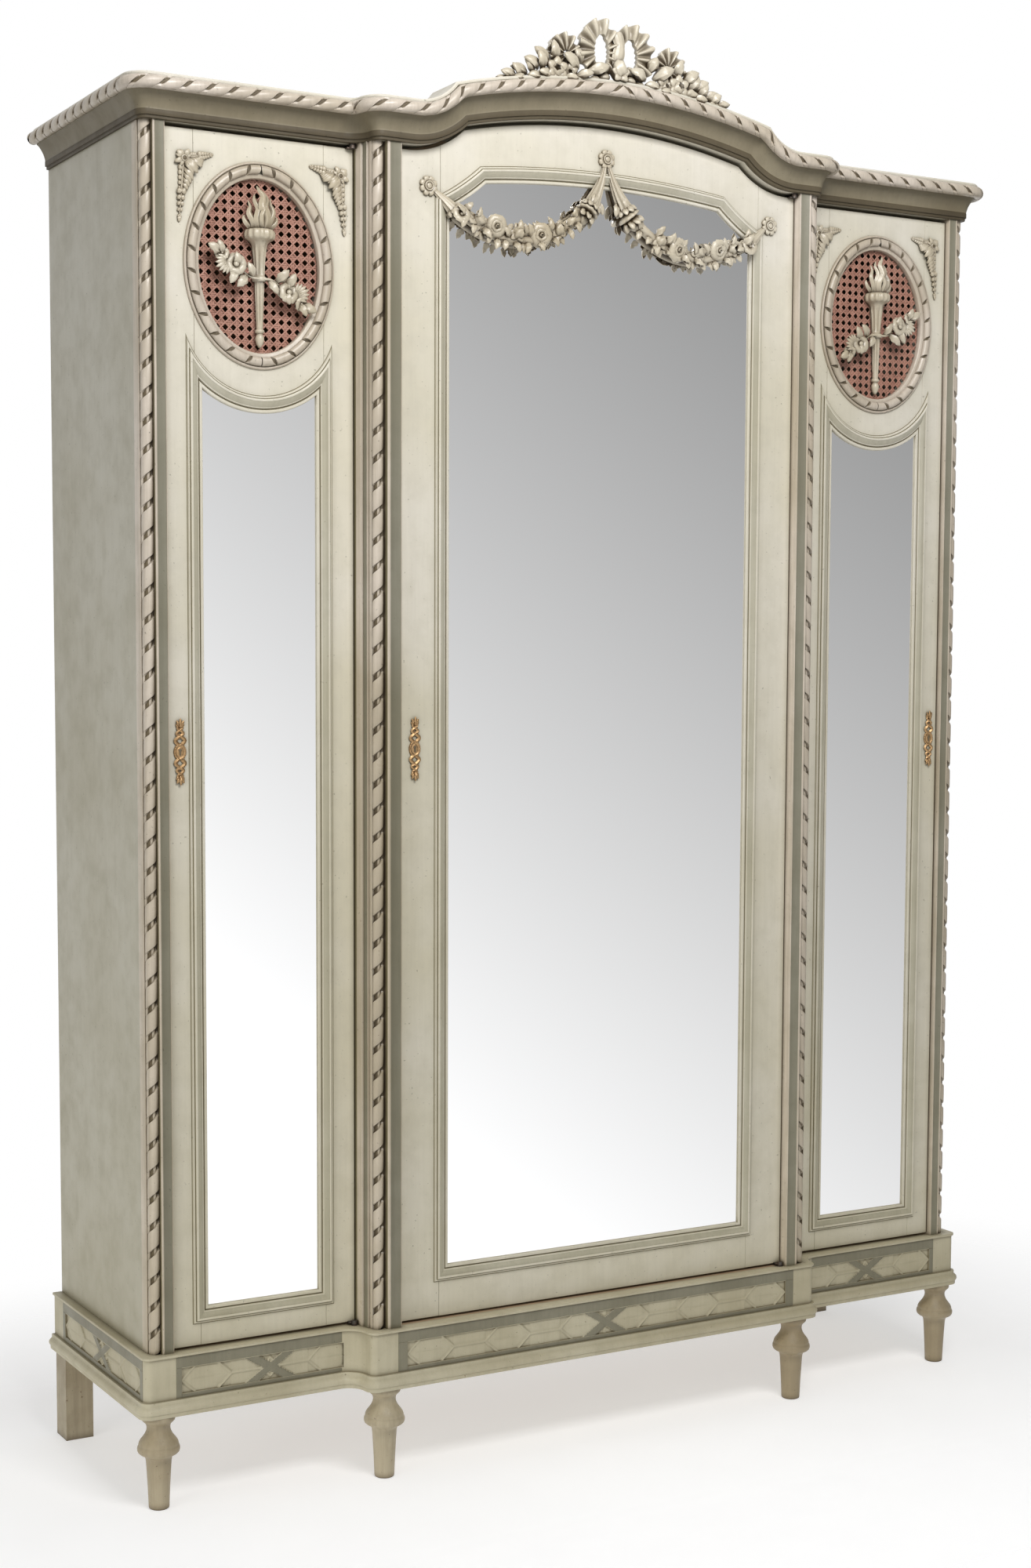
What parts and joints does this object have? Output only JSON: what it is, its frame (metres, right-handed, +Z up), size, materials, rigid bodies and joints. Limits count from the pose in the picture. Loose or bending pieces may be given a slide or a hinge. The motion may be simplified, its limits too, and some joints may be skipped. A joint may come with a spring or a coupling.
{
  "type": "armoire",
  "caption": "Breakfront armoire with mirrored hinged doors, oval cane panels, carved swags, an arched ribbon-twist cornice with a bow crest, interior shelves and turned feet.",
  "frame": {"origin": "on the floor, under the middle of the bounding box", "axes": "+X to the object's right seen from the front, +Y to the back, +Z up; the doors face -Y"},
  "size_m": [1.738, 0.524, 2.455],
  "materials": {
    "cream_paint": "aged cream paint over carved wood, antiqued in the hollows",
    "bare_timber": "plain aged timber, unpainted inside and at the back",
    "mirror_glass": "silvered plate glass",
    "gilt_bronze": "dulled gilt bronze",
    "dark_iron": "dark oiled iron",
    "woven_cane": "painted split cane"
  },
  "bodies": {
    "carcass": {"foot_outer_left": "cream_paint", "foot_mid_left": "cream_paint", "foot_mid_right": "cream_paint", "foot_outer_right": "cream_paint", "rear_leg_left": "bare_timber", "rear_leg_right": "bare_timber", "plinth_front": "cream_paint", "plinth_side_left": "cream_paint", "plinth_side_right": "cream_paint", "base_moulding": "cream_paint", "friezes": "cream_paint", "floor_board": "bare_timber", "side_panel_left": "cream_paint", "side_panel_right": "cream_paint", "partition_left": "bare_timber", "partition_right": "bare_timber", "back_panel": "bare_timber", "top_board": "bare_timber", "corner_post_left": "cream_paint", "corner_post_right": "cream_paint", "mid_post_left": "cream_paint", "mid_post_right": "cream_paint", "cornice": "cream_paint", "cornice_rope": "cream_paint", "crest": "cream_paint", "side_shelves": "bare_timber", "hat_shelf": "bare_timber", "shelf_battens": "bare_timber", "hanging_rail": "gilt_bronze", "pivot_plates": "dark_iron"},
    "left_door": {"left_door_frame": "cream_paint", "left_door_mirror": "mirror_glass", "left_door_mirror_back": "bare_timber", "left_door_lock_case": "dark_iron", "left_door_escutcheon": "gilt_bronze", "left_door_hinge_leaves": "dark_iron", "left_door_oval_ring": "cream_paint", "left_door_cane_panel": "woven_cane", "left_door_torch": "cream_paint", "left_door_spandrels": "cream_paint"},
    "centre_door": {"centre_door_frame": "cream_paint", "centre_door_mirror": "mirror_glass", "centre_door_mirror_back": "bare_timber", "centre_door_lock_case": "dark_iron", "centre_door_escutcheon": "gilt_bronze", "centre_door_hinge_leaves": "dark_iron", "centre_door_garland": "cream_paint"},
    "right_door": {"right_door_frame": "cream_paint", "right_door_mirror": "mirror_glass", "right_door_mirror_back": "bare_timber", "right_door_lock_case": "dark_iron", "right_door_escutcheon": "gilt_bronze", "right_door_hinge_leaves": "dark_iron", "right_door_oval_ring": "cream_paint", "right_door_cane_panel": "woven_cane", "right_door_torch": "cream_paint", "right_door_spandrels": "cream_paint"},
    "left_bolt": {"left_door_lock_bolt": "gilt_bronze"},
    "centre_bolt": {"centre_door_lock_bolt": "gilt_bronze"},
    "right_bolt": {"right_door_lock_bolt": "gilt_bronze"}
  },
  "joints": [
    {"name": "left_door_hinge", "type": "hinge", "parent": "carcass", "child": "left_door", "pos_m": [-0.466, -0.172, 0.26], "axis": [0, 0, 1], "range_deg": [0, 90]},
    {"name": "centre_door_hinge", "type": "hinge", "parent": "carcass", "child": "centre_door", "pos_m": [0.395, -0.214, 0.26], "axis": [0, 0, 1], "range_deg": [0, 90]},
    {"name": "right_door_hinge", "type": "hinge", "parent": "carcass", "child": "right_door", "pos_m": [0.466, -0.172, 0.26], "axis": [0, 0, -1], "range_deg": [0, 90]},
    {"name": "left_bolt_slide", "type": "slide", "parent": "left_door", "child": "left_bolt", "axis": [-1, 0, 0], "range_m": [0, 0.01]},
    {"name": "centre_bolt_slide", "type": "slide", "parent": "centre_door", "child": "centre_bolt", "axis": [-1, 0, 0], "range_m": [0, 0.01]},
    {"name": "right_bolt_slide", "type": "slide", "parent": "right_door", "child": "right_bolt", "axis": [1, 0, 0], "range_m": [0, 0.01]}
  ]
}
